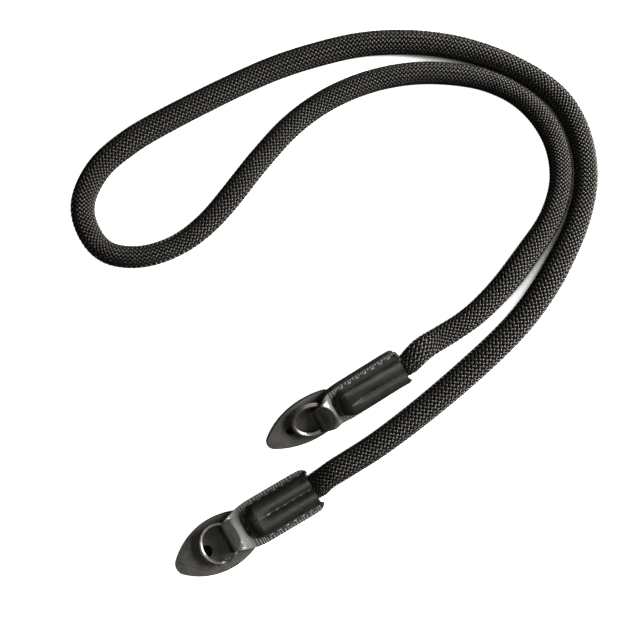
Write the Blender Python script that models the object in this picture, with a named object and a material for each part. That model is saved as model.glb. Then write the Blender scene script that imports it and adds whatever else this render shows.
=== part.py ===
"""Rope camera strap: one braided rope with a folded leather end, a split ring
and a leaf-shaped leather protector at each side, laid down as a doubled loop.

Run it with:  blender --background --python part.py
Metres, +Z up. The table is z = 0, and the origin lies on it under the middle
of the two leather ends.
"""
import math
from collections import namedtuple

import bmesh
import bpy
from mathutils import Matrix, Vector

MM = 0.001

# ---------------------------------------------------------------------------
# Driving dimensions
# ---------------------------------------------------------------------------
LEATHER = 1.1 * MM              # wall of the folded strip
GAP = 0.3 * MM                  # clearance wherever two pieces touch

# Folded strip, measured forward from its mouth, where the rope comes out
NOSE = 40.8 * MM                # front of the fold that holds the ring
NOSE_LENGTH = 3.4 * MM          # how far the fold curves before it turns under
NOSE_POWER = 2.5                # 2 is an ellipse, more is squarer
STITCH_FRONT = 30.5 * MM        # front of the U of stitches round the rope end
STITCH_HALF = 7.2 * MM          # half width of that U
STITCH_CORNER = 6.0 * MM        # radius of its two corners
SHOULDER = 5.0 * MM             # width over which the hump rises from the U
SHOULDER_POWER = 2.3            # 2 is an ellipse, more is squarer
SEAM_END = 24.0 * MM            # where the seam along the middle stops
SEAM_DEPTH = 1.5 * MM
SEAM_WIDTH = 1.3 * MM
LEAF_MEETS = 29.5 * MM          # the strip lies on the leaf from here
RAMP_START = 30.5 * MM          # the strip climbs from here
RIDGE_HALF = 0.9 * MM           # to this far from the middle of the ring's wire
RIDGE_TOP = 6.6 * MM            # height of the strip over the wire
RIDGE_REACH = 6.2 * MM          # its bend follows the wire this far to each side
FALL = 0.8 * MM                 # it sinks this much in front of the wire
FALL_RUN = 5.0 * MM             # over this length

# Leaf-shaped protector, measured back from its tip
LEAF_THICK = 1.2 * MM
LEAF_LENGTH = 32.3 * MM
LEAF_HALF = 10.9 * MM           # half width where it is widest
LEAF_WIDEST = 20.6 * MM
LEAF_ARCH = 27.9 * MM           # radius of both long sides
LEAF_CORNER = 2.2 * MM          # radius of the two rear corners
HOLE_RADIUS = 2.4 * MM
LINING = 0.3 * MM               # the layer under the hole, which is left whole

# Split ring: flat wire in two turns
RING_RADIUS = 7.7 * MM          # middle of the wire
WIRE_WIDE = 1.2 * MM
WIRE_HIGH = 0.85 * MM
WIRE_ROUND = 0.3 * WIRE_HIGH    # radius of the wire's edges
TURN_RISE = 1.0 * MM            # from the lower turn to the upper one
RING_REAR_LIFT = 3.45 * MM      # underside of the wire where the fold holds it

# Rope
ROPE_NEAR = (26.0, 23.0, 13.0, 0.0, -2.5, -6.0)  # sections in and near a mouth, millimetres
PRESS_RUN = 12.0 * MM           # it is round again this far outside the mouth
PRESS_FULL = 7.2 * MM           # and fully pressed from here inwards
SIDE_RUN = 8.0 * MM             # it turns aside over this length outside the mouth
MOUTH_MARGIN = 1.0 * MM         # the cover still holds it down this far outside
ROPE_STEP = 11.5 * MM           # spacing of the sections along the free run
CURVE_PARTS = 24                # points that trace the curve between two route points

# ---------------------------------------------------------------------------
# Short tables
# ---------------------------------------------------------------------------
Width = namedtuple("Width", "along half")
STRIP_WIDTH = (                 # millimetres from the mouth, half width
    Width(0.0, 9.1),
    Width(5.0, 9.35),
    Width(27.0, 9.35),
    Width(31.5, 8.7),
    Width(34.5, 7.6),
    Width(37.5, 6.4),
    Width(40.8, 5.6),
)

Crown = namedtuple("Crown", "along height")
HUMP_CROWN = (                  # crest of the hump over the flange, millimetres
    Crown(0.0, 5.2),
    Crown(10.0, 4.7),
    Crown(19.0, 4.3),
    Crown(25.0, 3.8),
    Crown(31.0, 2.4),
)

Girth = namedtuple("Girth", "along diameter")
ROPE_GIRTH = (                  # millimetres from mouth a, diameter of the rope
    Girth(0, 10.2),
    Girth(30, 9.4),
    Girth(62, 10.3),
    Girth(86, 9.6),
    Girth(105, 9.3),
    Girth(127, 9.6),
    Girth(148, 8.8),
    Girth(170, 9.3),
    Girth(250, 9.8),
    Girth(285, 10.0),
    Girth(315, 9.1),
    Girth(340, 9.4),
    Girth(400, 10.9),
    Girth(450, 10.4),
    Girth(520, 10.3),
    Girth(545, 10.0),
    Girth(573, 9.3),
    Girth(600, 9.8),
    Girth(628, 9.6),
    Girth(650, 9.9),
    Girth(672, 10.9),
    Girth(720, 11.2),
    Girth(770, 10.6),
    Girth(795, 10.4),
)

Press = namedtuple("Press", "along half_wide half_high")
PRESSED_ROPE = (                # its section where the cover presses it, millimetres
    Press(-12.0, 5.0, 5.0),
    Press(-6.0, 5.1, 4.5),
    Press(-2.5, 5.4, 3.5),
    Press(0.0, 5.0, 2.1),
    Press(26.0, 4.4, 1.4),
)

Point = namedtuple("Point", "x y lift")
ROPE_ROUTE = (                  # millimetres; lift is the air under the rope
    Point(56.8, 48.4, 4.5),
    Point(71.4, 58.1, 2.2),
    Point(83.9, 70.5, 0.7),
    Point(94.2, 84.2, 0),
    Point(103.8, 98.9, 0),
    Point(108.1, 115, 0),
    Point(105.3, 132, 0),
    Point(95, 146.6, 0),
    Point(79.8, 155.7, 0),
    Point(62.5, 159.3, 0),
    Point(45.5, 159.3, 0),
    Point(28.3, 155.6, 0),
    Point(12.3, 148.4, 0),
    Point(-1.6, 138.1, 0),
    Point(-13.5, 125, 0),
    Point(-35.5, 98, 0),
    Point(-49.4, 88, 0),
    Point(-65.6, 83.8, 0),
    Point(-79.6, 87.4, 0),
    Point(-88, 104, 0),
    Point(-82.2, 120.1, 0),
    Point(-68.7, 132.3, 0),
    Point(-53.6, 141.2, 0),
    Point(-22.4, 156.8, 0),
    Point(-6.7, 163.4, 0),
    Point(10.3, 168.6, 0),
    Point(27.5, 172.2, 0),
    Point(45.5, 172.9, 0),
    Point(62.5, 171, 0),
    Point(79.6, 166.1, 0),
    Point(95.6, 158.2, 0),
    Point(108.5, 147.0, 0),
    Point(116, 132, 0),
    Point(118.1, 115, 0),
    Point(114.7, 98.1, 0),
    Point(107.8, 82.4, 0),
    Point(99.2, 67.8, 0),
    Point(88.5, 54.1, 0),
    Point(63.2, 30.5, 0),
    Point(35.2, 8.4, 0),
)

End = namedtuple("End", "name x y heading roll rope_side rope_down leaf_rear leaf_turn hole_from_tip")
ENDS = (                        # millimetres and degrees, the rope's where its press ends
    End("a", 42.9, 39.5, 210.0, -46.0, -3.2, 2.8, 29.6, 3.7, 11.5),
    End("b", 8.3, -9.7, 210.6, 0.0, -1.2, 0.0, 31.5, 0.0, 14.0),
)

Ring = namedtuple("Ring", "forward side tilt seam")
RINGS = {                       # millimetres and degrees, in the frame of its end
    "a": Ring(41.2, -0.5, 6.5, 128.0),
    "b": Ring(43.3, -0.1, 6.5, 101.0),
}


# ---------------------------------------------------------------------------
# Helpers
# ---------------------------------------------------------------------------
def smoothstep(value, low, high):
    """0 below low, 1 above high, and an S-curve between them."""
    t = min(max((value - low) / (high - low), 0.0), 1.0)
    return t * t * (3.0 - 2.0 * t)


def from_table(rows, along, column=1):
    """One column of a table at a place in metres, eased between its rows."""
    place = along / MM
    if place <= rows[0][0]:
        return rows[0][column] * MM
    for before, after in zip(rows, rows[1:]):
        if place <= after[0]:
            share = smoothstep(place, before[0], after[0])
            return (before[column] + share * (after[column] - before[column])) * MM
    return rows[-1][column] * MM


def make_material(name, colour, roughness, metallic=0.0):
    material = bpy.data.materials.new(name)
    material.use_nodes = True
    shader = material.node_tree.nodes["Principled BSDF"]
    shader.inputs["Base Color"].default_value = (*colour, 1.0)
    shader.inputs["Roughness"].default_value = roughness
    shader.inputs["Metallic"].default_value = metallic
    material.diffuse_color = (*colour, 1.0)
    return material


def make_object(name, mesh, material, parent=None):
    mesh.materials.clear()
    mesh.materials.append(material)
    mesh.shade_smooth()
    mesh.set_sharp_from_angle(angle=math.radians(40))
    piece = bpy.data.objects.new(name, mesh)
    piece.parent = parent
    bpy.context.collection.objects.link(piece)
    return piece


def loft(rings):
    """Skin a list of equally long rings of points, capped at both ends."""
    form = bmesh.new()
    rows = [[form.verts.new(point) for point in ring] for ring in rings]
    count = len(rows[0])
    for before, after in zip(rows, rows[1:]):
        for i in range(count):
            j = (i + 1) % count
            form.faces.new((before[i], before[j], after[j], after[i]))
    form.faces.new(list(reversed(rows[0])))
    form.faces.new(rows[-1])
    bmesh.ops.recalc_face_normals(form, faces=form.faces)
    mesh = bpy.data.meshes.new("loft")
    form.to_mesh(mesh)
    form.free()
    return mesh


# ---------------------------------------------------------------------------
# Leather end: one strip, moulded over the rope end, folded round the ring
# and brought back underneath
# ---------------------------------------------------------------------------
def rest_height(u):
    """Underside of the strip: its mouth is on the table, its nose on the leaf."""
    return (LEAF_THICK + GAP) * min(u / LEAF_MEETS, 1.0)


def inside_stitches(u, v):
    """Distance inward from the U of stitches, below zero outside it."""
    across = abs(v) - (STITCH_HALF - STITCH_CORNER)
    ahead = u - (STITCH_FRONT - STITCH_CORNER)
    corner = math.hypot(max(across, 0.0), max(ahead, 0.0))
    return STITCH_CORNER - corner - min(max(across, ahead), 0.0)


def hump(u, v):
    """Height of the moulded hump over the flange."""
    inside = min(max(inside_stitches(u, v) / SHOULDER, 0.0), 1.0)
    shoulder = (1.0 - (1.0 - inside) ** SHOULDER_POWER) ** (1.0 / SHOULDER_POWER)
    seam = SEAM_DEPTH * math.exp(-(v / SEAM_WIDTH) ** 2)
    seam *= 1.0 - smoothstep(u, SEAM_END - 1.0 * MM, SEAM_END + 1.5 * MM)
    return max(shoulder * (from_table(HUMP_CROWN, u) - seam), 0.0)


def upper_face(u, v, ring):
    """Top of the upper layer, from the mouth to where the nose starts.

    In front of the stitches it climbs over the ring's round wire and sinks again.
    """
    aside = min(abs(v - ring.side * MM), RIDGE_REACH)
    wire = ring.forward * MM - math.sqrt(RING_RADIUS ** 2 - aside ** 2)
    flange = rest_height(u) + 2.0 * LEATHER + GAP + hump(u, v)
    share = smoothstep(u, RAMP_START, wire - RIDGE_HALF)
    fall = FALL * smoothstep(u, wire + RIDGE_HALF, wire + RIDGE_HALF + FALL_RUN)
    return flange + share * (RIDGE_TOP - fall - flange)


def squared(value):
    """A sine or cosine pushed outward, which makes an ellipse squarer."""
    return math.copysign(abs(value) ** (2.0 / NOSE_POWER), value)


def strip_rows(ring):
    """Rows of (u, z function) from the top of the mouth round to its underside."""
    top = (0, 2, 6, 10, 14, 18, 21.5, 23.5, 25.3, 27, 28.4, 29.5, 30.3, 31.0, 31.8, 32.7, 33.8, 35, 36)
    rows = [(u * MM, lambda u, v: upper_face(u, v, ring)) for u in top]
    nose_start = NOSE - NOSE_LENGTH
    low = rest_height(NOSE)
    for step in range(9):
        angle = math.radians(90.0 - 22.5 * step)
        share = 0.5 + 0.5 * squared(math.sin(angle))
        ahead = nose_start + NOSE_LENGTH * squared(math.cos(angle))
        rows.append((ahead, lambda u, v, share=share: low + share * (upper_face(nose_start, v, ring) - low)))
    under = (33.5, 31, 28, 21, 14, 7, 0)
    rows += [(u * MM, lambda u, v: rest_height(u)) for u in under]
    return rows


def leather_end(name, end, material, parent):
    across = [0.0, 0.07, 0.16, 0.28, 0.42, 0.55, 0.66, 0.75, 0.82, 0.88, 1.0]
    across = [-share for share in reversed(across[1:])] + across
    form = bmesh.new()
    grid = []
    for u, height in strip_rows(RINGS[end.name]):
        half = from_table(STRIP_WIDTH, u)
        grid.append([form.verts.new((u, share * half, height(u, share * half))) for share in across])
    for row, ahead in zip(grid, grid[1:]):
        for c in range(len(across) - 1):
            form.faces.new((row[c], ahead[c], ahead[c + 1], row[c + 1]))
    mesh = bpy.data.meshes.new(name)
    form.to_mesh(mesh)
    form.free()
    piece = make_object(name, mesh, material, parent)
    wall = piece.modifiers.new("wall", "SOLIDIFY")
    wall.thickness = LEATHER
    wall.offset = -1.0
    wall.use_even_offset = True
    return piece


# ---------------------------------------------------------------------------
# Split ring
# ---------------------------------------------------------------------------
def split_ring(name, end, material, parent):
    """Flat wire in two turns, which change level over a short slanting run."""
    first, last, step = 30, 690, 15
    cross_start, cross_end = 335.0, 385.0
    ring = RINGS[end.name]
    centre = Vector((ring.forward * MM, ring.side * MM, 0.0))
    rear = RING_RADIUS + 0.5 * WIRE_WIDE
    place = (
        Matrix.Translation(centre + Vector((-rear, 0.0, RING_REAR_LIFT)))
        @ Matrix.Rotation(math.radians(ring.tilt), 4, "Y")
        @ Matrix.Translation((rear, 0.0, 0.0))
    )
    profile = []
    for corner_x, corner_z, turn in ((1, -1, -90), (1, 1, 0), (-1, 1, 90), (-1, -1, 180)):
        for extra in (15, 75):
            angle = math.radians(turn + extra)
            x = corner_x * (0.5 * WIRE_WIDE - WIRE_ROUND) + WIRE_ROUND * math.cos(angle)
            z = corner_z * (0.5 * WIRE_HIGH - WIRE_ROUND) + WIRE_ROUND * math.sin(angle)
            profile.append((x, z))
    rings = []
    for sweep in range(first, last + 1, step):
        angle = math.radians(ring.seam + sweep)
        rise = 0.5 * WIRE_HIGH + TURN_RISE * smoothstep(sweep, cross_start, cross_end)
        section = []
        for x, z in profile:
            reach = RING_RADIUS + x
            section.append(place @ Vector((reach * math.cos(angle), reach * math.sin(angle), rise + z)))
        rings.append(section)
    return make_object(name, loft(rings), material, parent)


# ---------------------------------------------------------------------------
# Protector
# ---------------------------------------------------------------------------
def arc(centre, radius, start, stop, steps):
    """Points on an arc, angles in degrees, both ends included."""
    points = []
    for i in range(steps + 1):
        angle = math.radians(start + (stop - start) * i / steps)
        points.append((centre[0] + radius * math.cos(angle), centre[1] + radius * math.sin(angle)))
    return points


def leaf_outline():
    """Leaf with its tip at x = 0 and its body towards -x, anticlockwise.

    Both long sides are arcs, a smaller arc that touches them rounds the tip,
    and the straight rear edge has two rounded corners.
    """
    drop = LEAF_ARCH - LEAF_HALF
    tip = (LEAF_ARCH ** 2 - LEAF_WIDEST ** 2 - drop ** 2) / (2.0 * (LEAF_ARCH - LEAF_WIDEST))
    tangent = math.degrees(math.atan2(drop, LEAF_WIDEST - tip))
    rear = -LEAF_LENGTH + LEAF_CORNER
    lean = math.degrees(math.asin((LEAF_WIDEST + rear) / (LEAF_ARCH - LEAF_CORNER)))
    corner_y = math.cos(math.radians(lean)) * (LEAF_ARCH - LEAF_CORNER) - drop
    left = arc((-tip, 0.0), tip, 0.0, tangent, 5)
    left += arc((-LEAF_WIDEST, -drop), LEAF_ARCH, tangent, 90.0 - lean, 12)[1:]
    left += arc((rear, corner_y), LEAF_CORNER, 90.0 - lean, 180.0, 4)[1:]
    right = [(x, -y) for x, y in reversed(left[1:])]
    return left + right


def leaf_place(end):
    """Place of the protector in its end's frame: its rear edge lies under the fold."""
    turn = Matrix.Rotation(math.radians(end.leaf_turn), 4, "Z")
    ahead = Matrix.Translation((LEAF_LENGTH, 0.0, 0.0))
    return Matrix.Translation((end.leaf_rear * MM, 0.0, 0.0)) @ turn @ ahead


def protector(name, end, material, parent):
    """A leaf whose round hole stops at the lining."""
    form = bmesh.new()
    rim = leaf_outline()
    hole = arc((-end.hole_from_tip * MM, 0.0), HOLE_RADIUS, 0.0, 360.0, 20)[:-1]
    levels = ((rim, (0.0, LEAF_THICK)), (hole, (LINING, LEAF_THICK)))
    upper = []
    for loop, heights in levels:
        low, high = ([form.verts.new((x, y, z)) for x, y in loop] for z in heights)
        form.faces.new(low)
        for i, corner in enumerate(low):
            j = (i + 1) % len(low)
            wall = form.faces.new((corner, low[j], high[j], high[i]))
            upper.append(wall.edges[2])
    bmesh.ops.triangle_fill(form, use_beauty=True, edges=upper)
    bmesh.ops.recalc_face_normals(form, faces=form.faces)
    mesh = bpy.data.meshes.new(name)
    form.to_mesh(mesh)
    form.free()
    piece = make_object(name, mesh, material, parent)
    piece.matrix_local = leaf_place(end)
    return piece


# ---------------------------------------------------------------------------
# Rope
# ---------------------------------------------------------------------------
def end_frame(end):
    """Frame of a leather end: x forward to its tip, z out of its upper face.

    An end that is rolled over rests on one long side of its protector.
    """
    side = max((leaf_place(end) @ Vector((x, y, 0.0))).y for x, y in leaf_outline())
    lift = side * math.sin(math.radians(-end.roll))
    return (
        Matrix.Translation((end.x * MM, end.y * MM, lift))
        @ Matrix.Rotation(math.radians(end.heading), 4, "Z")
        @ Matrix.Rotation(math.radians(end.roll), 4, "X")
    )


def pressed_centre(end, u):
    """Middle of the rope in and near a leather end, in the end's frame."""
    inside = max(u, 0.0)
    height = rest_height(inside) + LEATHER + GAP + from_table(PRESSED_ROPE, inside, 2)
    height = max(height, from_table(PRESSED_ROPE, u, 2))
    aside = end.rope_side * MM * smoothstep(-u, 0.0, SIDE_RUN)
    return Vector((u, aside, height - end.rope_down * MM * (min(u, 0.0) / PRESS_RUN) ** 2))


def roof(u, v):
    """Highest the rope may reach under the cover, in the end's frame."""
    across = abs(v)
    outer = min(hump(u, max(across - SEAM_WIDTH, 0.0)), hump(u, across + LEATHER), hump(u + LEATHER, v))
    return rest_height(u) + LEATHER + outer - 0.5 * GAP


def smooth_curve(knots, step):
    """Points about step apart on a centripetal Catmull-Rom curve through knots."""
    points = []
    padded = [2 * knots[0] - knots[1], *knots, 2 * knots[-1] - knots[-2]]
    for p0, p1, p2, p3 in zip(padded, padded[1:], padded[2:], padded[3:]):
        t1 = (p1 - p0).length ** 0.5
        t2 = t1 + (p2 - p1).length ** 0.5
        t3 = t2 + (p3 - p2).length ** 0.5
        for i in range(CURVE_PARTS):
            t = t1 + (t2 - t1) * i / CURVE_PARTS
            a1 = p0.lerp(p1, t / t1)
            a2 = p1.lerp(p2, (t - t1) / (t2 - t1))
            a3 = p2.lerp(p3, (t - t2) / (t3 - t2))
            b1 = a1.lerp(a2, t / t2)
            b2 = a2.lerp(a3, (t - t1) / (t3 - t1))
            points.append(b1.lerp(b2, (t - t1) / (t2 - t1)))
    points.append(knots[-1])
    travelled = [0.0]
    for before, after in zip(points, points[1:]):
        travelled.append(travelled[-1] + (after - before).length)
    count = round(travelled[-1] / step)
    evenly, k = [], 0
    for i in range(count + 1):
        target = travelled[-1] * i / count
        while k < len(points) - 2 and travelled[k + 1] < target:
            k += 1
        share = (target - travelled[k]) / (travelled[k + 1] - travelled[k])
        evenly.append(points[k].lerp(points[k + 1], share))
    return evenly


def rope_sections():
    """Centres and radii of the rope's round sections, from end a to end b."""
    near_a, near_b = ([end_frame(end) @ pressed_centre(end, u * MM) for u in ROPE_NEAR] for end in ENDS)
    first, last = (0.5 * ROPE_GIRTH[i].diameter * MM for i in (0, -1))
    leaving, arriving = (
        end_frame(end) @ pressed_centre(end, -PRESS_RUN) - Vector((0.0, 0.0, radius))
        for end, radius in zip(ENDS, (first, last))
    )
    underside = [leaving, *(Vector(point) * MM for point in ROPE_ROUTE), arriving]
    sections = [(centre, first) for centre in near_a]
    travelled, before = PRESS_RUN, leaving
    for point in smooth_curve(underside, ROPE_STEP):
        travelled += (point - before).length
        before = point
        radius = 0.5 * from_table(ROPE_GIRTH, travelled)
        sections.append((Vector((point.x, point.y, max(point.z, 0.0) + radius)), radius))
    sections += [(centre, last) for centre in reversed(near_b)]
    return sections


def press_ends(mesh):
    """Flatten and widen the rope where the two covers press it."""
    reach = 1.5 * STITCH_HALF       # the other strands lie further away than this
    for end in ENDS:
        frame = end_frame(end)
        back = frame.inverted()
        radius = 0.5 * ROPE_GIRTH[0 if end is ENDS[0] else -1].diameter * MM
        for vertex in mesh.vertices:
            local = back @ vertex.co
            near = math.hypot(local.y, local.z) < reach
            if not near or local.x < -PRESS_RUN or local.x > NOSE:
                continue
            centre = pressed_centre(end, local.x)
            across = centre.y + (local.y - centre.y) / radius * from_table(PRESSED_ROPE, local.x, 1)
            up = (local.z - centre.z) / radius * from_table(PRESSED_ROPE, local.x, 2)
            pressed = Vector((local.x, across, centre.z + up))
            if local.x > -MOUTH_MARGIN:
                pressed.z = min(pressed.z, roof(local.x, across))
            share = smoothstep(local.x, -PRESS_RUN, -PRESS_FULL)
            vertex.co = frame @ local.lerp(pressed, share)
            vertex.co.z = max(vertex.co.z, 0.0)


def rope(material):
    sections = rope_sections()
    path = bpy.data.curves.new("rope path", "CURVE")
    path.dimensions = "3D"
    path.twist_mode = "Z_UP"
    path.bevel_depth = 1.0
    path.bevel_resolution = 4
    path.use_fill_caps = True
    line = path.splines.new("POLY")
    line.points.add(len(sections) - 1)
    for point, (centre, radius) in zip(line.points, sections):
        point.co = (*centre, 1.0)
        point.radius = radius
    swept = bpy.data.objects.new("rope path", path)
    bpy.context.collection.objects.link(swept)
    ready = swept.evaluated_get(bpy.context.evaluated_depsgraph_get())
    mesh = bpy.data.meshes.new_from_object(ready)
    bpy.data.objects.remove(swept)
    press_ends(mesh)
    form = bmesh.new()
    form.from_mesh(mesh)
    bmesh.ops.remove_doubles(form, verts=form.verts, dist=0.001 * MM)
    form.to_mesh(mesh)
    form.free()
    return make_object("rope", mesh, material)


# ---------------------------------------------------------------------------
# Assembly
# ---------------------------------------------------------------------------
def build():
    for old in list(bpy.data.objects):
        bpy.data.objects.remove(old)
    braid = make_material("braided rope", (0.016, 0.014, 0.013), 0.75)
    hide = make_material("black leather", (0.020, 0.019, 0.018), 0.45)
    leaf = make_material("grey leather", (0.045, 0.041, 0.038), 0.60)
    steel = make_material("nickelled steel", (0.72, 0.70, 0.67), 0.22, 1.0)
    rope(braid)
    for end in ENDS:
        holder = bpy.data.objects.new("end_" + end.name, None)
        holder.matrix_world = end_frame(end)
        bpy.context.collection.objects.link(holder)
        leather_end("leather_end_" + end.name, end, hide, holder)
        split_ring("split_ring_" + end.name, end, steel, holder)
        protector("ring_protector_" + end.name, end, leaf, holder)


build()
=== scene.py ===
# %% [markdown]
# # A rope camera strap
#
# A braided rope hangs a camera from the neck. Each end of the rope is sewn into
# a folded leather end, the fold holds a split ring, and a leaf of leather under
# the ring keeps it from scratching the camera. This lesson dresses the plain
# solids of such a strap: it reads them as a fixed frame, builds the fine surface
# of each piece around them, and gives every surface a material made of nodes.

# %% Load the frame
import math
from collections import namedtuple

import bmesh
import bpy
import numpy as np
from mathutils import Matrix, Vector


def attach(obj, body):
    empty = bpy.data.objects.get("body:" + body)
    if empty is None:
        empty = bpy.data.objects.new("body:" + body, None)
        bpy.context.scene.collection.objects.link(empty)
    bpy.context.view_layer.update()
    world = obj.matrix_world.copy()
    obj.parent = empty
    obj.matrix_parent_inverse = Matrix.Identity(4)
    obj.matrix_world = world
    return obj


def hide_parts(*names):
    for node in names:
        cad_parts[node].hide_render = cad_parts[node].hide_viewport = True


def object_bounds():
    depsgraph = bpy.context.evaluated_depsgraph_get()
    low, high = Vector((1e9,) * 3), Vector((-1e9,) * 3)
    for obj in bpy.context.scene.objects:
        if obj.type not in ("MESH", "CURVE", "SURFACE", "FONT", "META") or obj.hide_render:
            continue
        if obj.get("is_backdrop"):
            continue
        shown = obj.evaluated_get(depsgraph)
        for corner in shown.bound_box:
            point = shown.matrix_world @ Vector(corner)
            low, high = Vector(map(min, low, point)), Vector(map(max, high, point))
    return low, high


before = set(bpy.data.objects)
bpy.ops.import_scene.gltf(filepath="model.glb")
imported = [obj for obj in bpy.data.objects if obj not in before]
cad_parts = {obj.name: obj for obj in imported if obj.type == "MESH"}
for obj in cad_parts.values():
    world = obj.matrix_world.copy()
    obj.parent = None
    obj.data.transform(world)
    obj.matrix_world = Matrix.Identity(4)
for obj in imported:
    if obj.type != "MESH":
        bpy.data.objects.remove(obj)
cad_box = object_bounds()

MM = 0.001
print("loaded", len(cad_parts), "solids:", ", ".join(sorted(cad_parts)))

# %% [markdown]
# ## The camera
#
# The strap lies on a table and is seen from almost straight above, from about
# half a metre away. A camera looks along its own -Z axis, so its matrix is made
# of three directions: right, up, and backward. The up hint is turned a hair from
# the world's Y axis, because the view leans a quarter of a degree.

# %% Camera
AIM = Vector((0.0108, 0.0575, 0.005))
EYE = Vector((0.0445, -0.0008, 0.4842))
UP_HINT = Vector((-0.0042, 1.0, 0.0))
LENS = 67.5                      # millimetres, on a sensor 36 mm wide


def add_camera():
    lens = bpy.data.cameras.new("camera")
    lens.lens = LENS
    lens.sensor_width = 36.0
    lens.clip_start = 0.02
    camera = bpy.data.objects.new("camera", lens)
    ahead = (AIM - EYE).normalized()
    right = ahead.cross(UP_HINT).normalized()
    turned = Matrix((right, right.cross(ahead), -ahead)).transposed()
    camera.matrix_world = Matrix.Translation(EYE) @ turned.to_4x4()
    bpy.context.scene.collection.objects.link(camera)
    bpy.context.scene.camera = camera
    return camera


add_camera()
print("the camera stands %.0f mm from the strap" % (1000 * (AIM - EYE).length))

# %% [markdown]
# ## The table and the light
#
# Black rope and black leather show their shape only in what they reflect. A low,
# slightly warm soft box at the right lights one side of every yarn and leaves the
# other flank of the rope dark. A much weaker box overhead puts soft bands on the
# leather. The sky is almost black, so hardly anything fills the shadows.
#
# The table is a plain sheet that glows by itself, so it stays white whatever the
# lamps do. It is hidden from bounced light, so it doesn't brighten the strap.

# %% Table, lamps and sky
LAMPS = {                        # where it stands, edge length, watts
    "key": ((0.78, 0.25, 0.30), 0.45, 34.0),
    "top": ((0.10, -0.15, 1.0), 0.50, 2.2),
}
LAMP_COLOUR = (1.0, 0.975, 0.93)
SKY = 0.008
FLOOR_GLOW = 1.05
FLOOR_SHADE = 0.012              # how far away something can shade the table


def add_table():
    sheet = bpy.data.meshes.new("table")
    reach, level = 1.6, -0.0002
    corners = [(-reach, -reach, level), (reach, -reach, level), (reach, reach, level), (-reach, reach, level)]
    sheet.from_pydata(corners, [], [(0, 1, 2, 3)])
    table = bpy.data.objects.new("table", sheet)
    bpy.context.scene.collection.objects.link(table)
    table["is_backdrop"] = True
    table.visible_diffuse = table.visible_glossy = False  # it throws no light back up at the strap
    return table


def add_lamp(name, place, size, watts):
    lamp = bpy.data.lights.new(name, "AREA")
    lamp.shape, lamp.size, lamp.energy, lamp.color = "SQUARE", size, watts, LAMP_COLOUR
    box = bpy.data.objects.new(name, lamp)
    box.location = place
    box.rotation_euler = (AIM - Vector(place)).to_track_quat("-Z", "Y").to_euler()
    bpy.context.scene.collection.objects.link(box)


def add_sky(strength):
    world = bpy.data.worlds.new("sky")
    world.use_nodes = True
    world.node_tree.nodes["Background"].inputs["Color"].default_value = (1.0, 1.0, 1.0, 1.0)
    world.node_tree.nodes["Background"].inputs["Strength"].default_value = strength
    bpy.context.scene.world = world


table = add_table()
for lamp_name, (place, size, watts) in LAMPS.items():
    add_lamp(lamp_name, place, size, watts)
add_sky(SKY)
bpy.context.scene.view_settings.view_transform = "Standard"
print("lit by", ", ".join(LAMPS), "and the sky")

# %% [markdown]
# ## Helpers for tables and nodes
#
# Most sizes of this strap change along a length, so they live in short tables
# that are read by straight interpolation. The materials are node trees: a small
# helper adds a node, sets its sockets and links it, which keeps each material
# readable from top to bottom.

# %% Reading tables and building materials
def smoothstep(value, low, high):
    """0 below low, 1 above high, and an S-curve between them."""
    t = np.clip((value - low) / (high - low), 0.0, 1.0)
    return t * t * (3.0 - 2.0 * t)


def from_table(rows, along, column=1):
    """The column's value at a length, in the units of the table."""
    rows = np.array(rows, float)
    return np.interp(along, rows[:, 0], rows[:, column])


class Finish:
    """A material whose nodes are added one by one."""

    def __init__(self, name):
        self.material = bpy.data.materials.new(name)
        self.material.use_nodes = True
        self.tree = self.material.node_tree
        self.shader = self.tree.nodes["Principled BSDF"]

    def node(self, kind, inputs=None, **settings):
        made = self.tree.nodes.new("ShaderNode" + kind)
        for key, value in settings.items():
            setattr(made, key, value)
        for key, value in (inputs or {}).items():
            self.feed(made.inputs[key], value)
        return made

    def feed(self, socket, value):
        if isinstance(value, bpy.types.NodeSocket):
            self.tree.links.new(value, socket)
        else:
            socket.default_value = value

    def set(self, **values):
        for key, value in values.items():
            self.feed(self.shader.inputs[key.replace("_", " ")], value)

    def ramp(self, factor, *stops):
        made = self.node("ValToRGB", {"Fac": factor})
        points = made.color_ramp.elements
        while len(points) < len(stops):
            points.new(0.5)
        for point, (place, colour) in zip(points, stops):
            point.position = place
            point.color = (*colour, 1.0)
        return made.outputs["Color"]

    def maths(self, operation, first, second=0.0, third=0.0):
        made = self.node("Math", operation=operation)
        for socket, value in zip(made.inputs, (first, second, third)):
            self.feed(socket, value)
        return made.outputs[0]

    def bump(self, height, distance, strength=1.0, under=None):
        inputs = {"Height": height, "Distance": distance, "Strength": strength}
        if under is not None:
            inputs["Normal"] = under
        return self.node("Bump", inputs).outputs["Normal"]


def grey(level):
    return (level, level, level)


print("helpers ready")

# %% [markdown]
# ## How the two ends lie
#
# Both leather ends are the same piece, laid down in two ways. One lies flat. The
# other is rolled over by 46 degrees and rests on a long side of its leaf. Each
# gets a frame of its own: x runs forward from the mouth, where the rope comes
# out, to the tip, and z points out of the upper face.

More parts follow.
